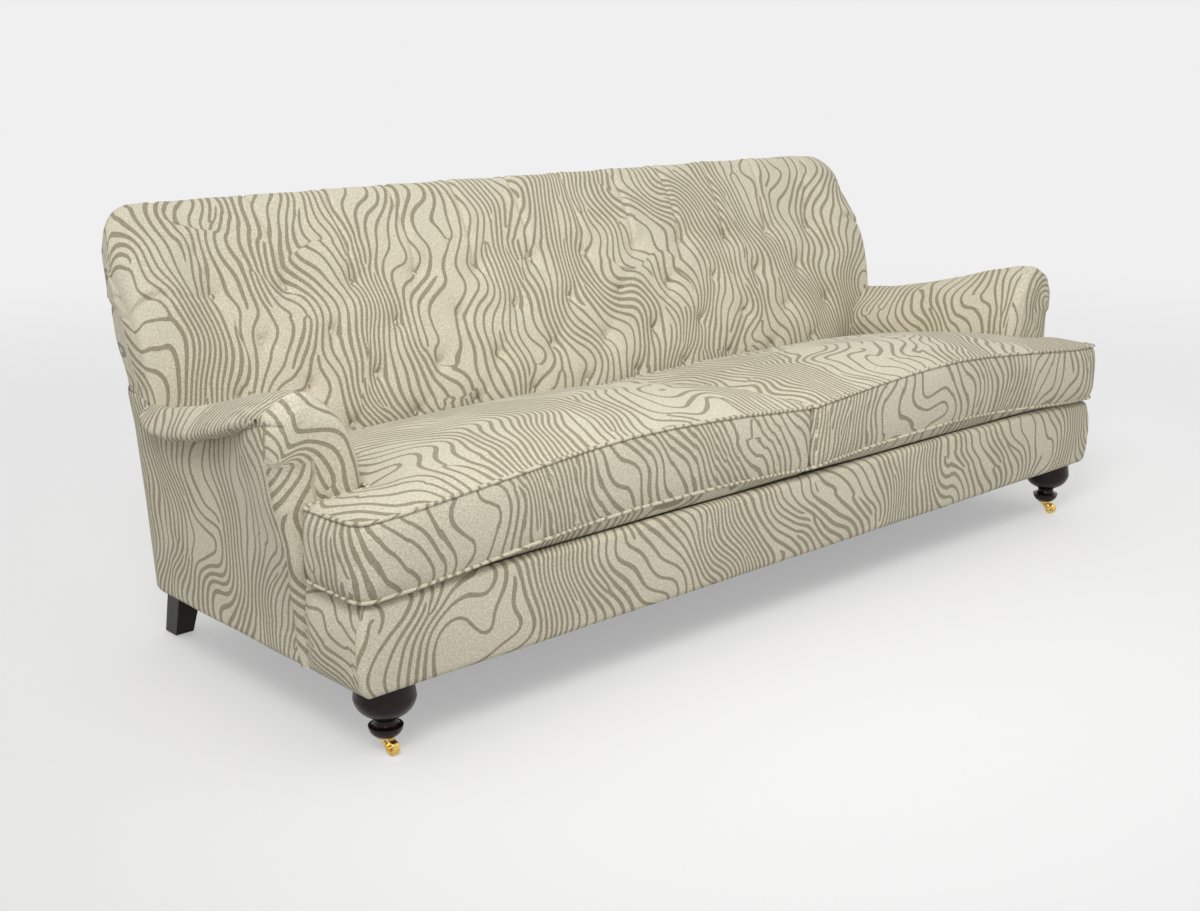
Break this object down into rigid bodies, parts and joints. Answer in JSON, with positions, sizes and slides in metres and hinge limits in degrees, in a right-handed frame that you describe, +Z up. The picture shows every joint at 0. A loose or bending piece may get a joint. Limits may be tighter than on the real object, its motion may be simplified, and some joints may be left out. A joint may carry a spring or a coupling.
{
  "type": "sofa",
  "caption": "Three-seat scroll-arm sofa with a buttoned back, loose wrap-round seat cushions, turned front feet on castors and raked rear legs",
  "frame": {"origin": "on the floor, under the middle of the sofa's width and depth", "axes": "+X along the sofa's width, towards the sitter's left hand, +Y towards the back, +Z up"},
  "size_m": [2.314, 0.9368, 0.86],
  "materials": {
    "print_fabric": "matt woven upholstery cloth with a wavy line print",
    "button_fabric": "matt woven cloth",
    "filling": "foam core with a fibre wrap",
    "webbing": "woven jute and elastic",
    "dust_cloth": "thin non-woven cloth",
    "frame_wood": "sawn hardwood",
    "dark_wood": "dark stain under gloss lacquer",
    "castor_brass": "dull cast brass",
    "spring_steel": "oiled spring wire",
    "zip_plastic": "coil zip on a woven tape",
    "glide_plastic": "moulded"
  },
  "bodies": {
    "sofa_frame": {"arm_facing_left": "print_fabric", "arm_facing_right": "print_fabric", "arm_pad_left": "print_fabric", "arm_pad_right": "print_fabric", "arm_piping_left": "print_fabric", "arm_piping_right": "print_fabric", "arm_post_left": "frame_wood", "arm_post_right": "frame_wood", "arm_top_rail_left": "frame_wood", "arm_top_rail_right": "frame_wood", "arm_tuck_rails": "frame_wood", "back_buttons": "button_fabric", "back_pad": "print_fabric", "back_post_left": "frame_wood", "back_post_right": "frame_wood", "back_top_rail": "frame_wood", "back_tuck_rail": "frame_wood", "back_uprights": "frame_wood", "back_webbing": "webbing", "castor_plates": "castor_brass", "castor_screws": "castor_brass", "corner_blocks": "frame_wood", "dust_cover": "dust_cloth", "facing_board_left": "frame_wood", "facing_board_right": "frame_wood", "foot_bolts": "spring_steel", "front_border": "print_fabric", "front_foot_left": "dark_wood", "front_foot_right": "dark_wood", "front_rail": "frame_wood", "outside_arm_panel_left": "print_fabric", "outside_arm_panel_right": "print_fabric", "outside_back_panel": "print_fabric", "rear_glides": "glide_plastic", "rear_leg_left": "dark_wood", "rear_leg_right": "dark_wood", "rear_rail": "frame_wood", "seat_deck_pad": "filling", "seat_springs": "spring_steel", "seat_stretchers": "frame_wood", "side_rail_left": "frame_wood", "side_rail_right": "frame_wood", "spring_clips": "spring_steel", "spring_ties": "webbing"},
    "seat_cushion_left": {"seat_cushion_cover_left": "print_fabric", "seat_cushion_fill_left": "filling", "seat_cushion_piping_left": "print_fabric", "seat_cushion_zip_left": "zip_plastic"},
    "seat_cushion_right": {"seat_cushion_cover_right": "print_fabric", "seat_cushion_fill_right": "filling", "seat_cushion_piping_right": "print_fabric", "seat_cushion_zip_right": "zip_plastic"},
    "castor_left": {"castor_fork_left": "castor_brass", "castor_axle_left": "castor_brass"},
    "castor_right": {"castor_fork_right": "castor_brass", "castor_axle_right": "castor_brass"},
    "wheel_left": {"castor_wheel_left": "castor_brass"},
    "wheel_right": {"castor_wheel_right": "castor_brass"}
  },
  "joints": [
    {"name": "seat_cushion_lift_left", "type": "slide", "parent": "sofa_frame", "child": "seat_cushion_left", "axis": [0, 0, 1], "range_m": [0, 0.45]},
    {"name": "castor_swivel_left", "type": "hinge", "parent": "sofa_frame", "child": "castor_left", "pos_m": [-1.02, -0.39428, 0.028], "axis": [0, 0, 1], "continuous": true},
    {"name": "castor_roll_left", "type": "hinge", "parent": "castor_left", "child": "wheel_left", "pos_m": [-1.02, -0.41229, 0.013], "axis": [1, 0, 0], "continuous": true},
    {"name": "seat_cushion_lift_right", "type": "slide", "parent": "sofa_frame", "child": "seat_cushion_right", "axis": [0, 0, 1], "range_m": [0, 0.45]},
    {"name": "castor_swivel_right", "type": "hinge", "parent": "sofa_frame", "child": "castor_right", "pos_m": [1.02, -0.39428, 0.028], "axis": [0, 0, 1], "continuous": true},
    {"name": "castor_roll_right", "type": "hinge", "parent": "castor_right", "child": "wheel_right", "pos_m": [1.02, -0.41229, 0.013], "axis": [1, 0, 0], "continuous": true}
  ]
}
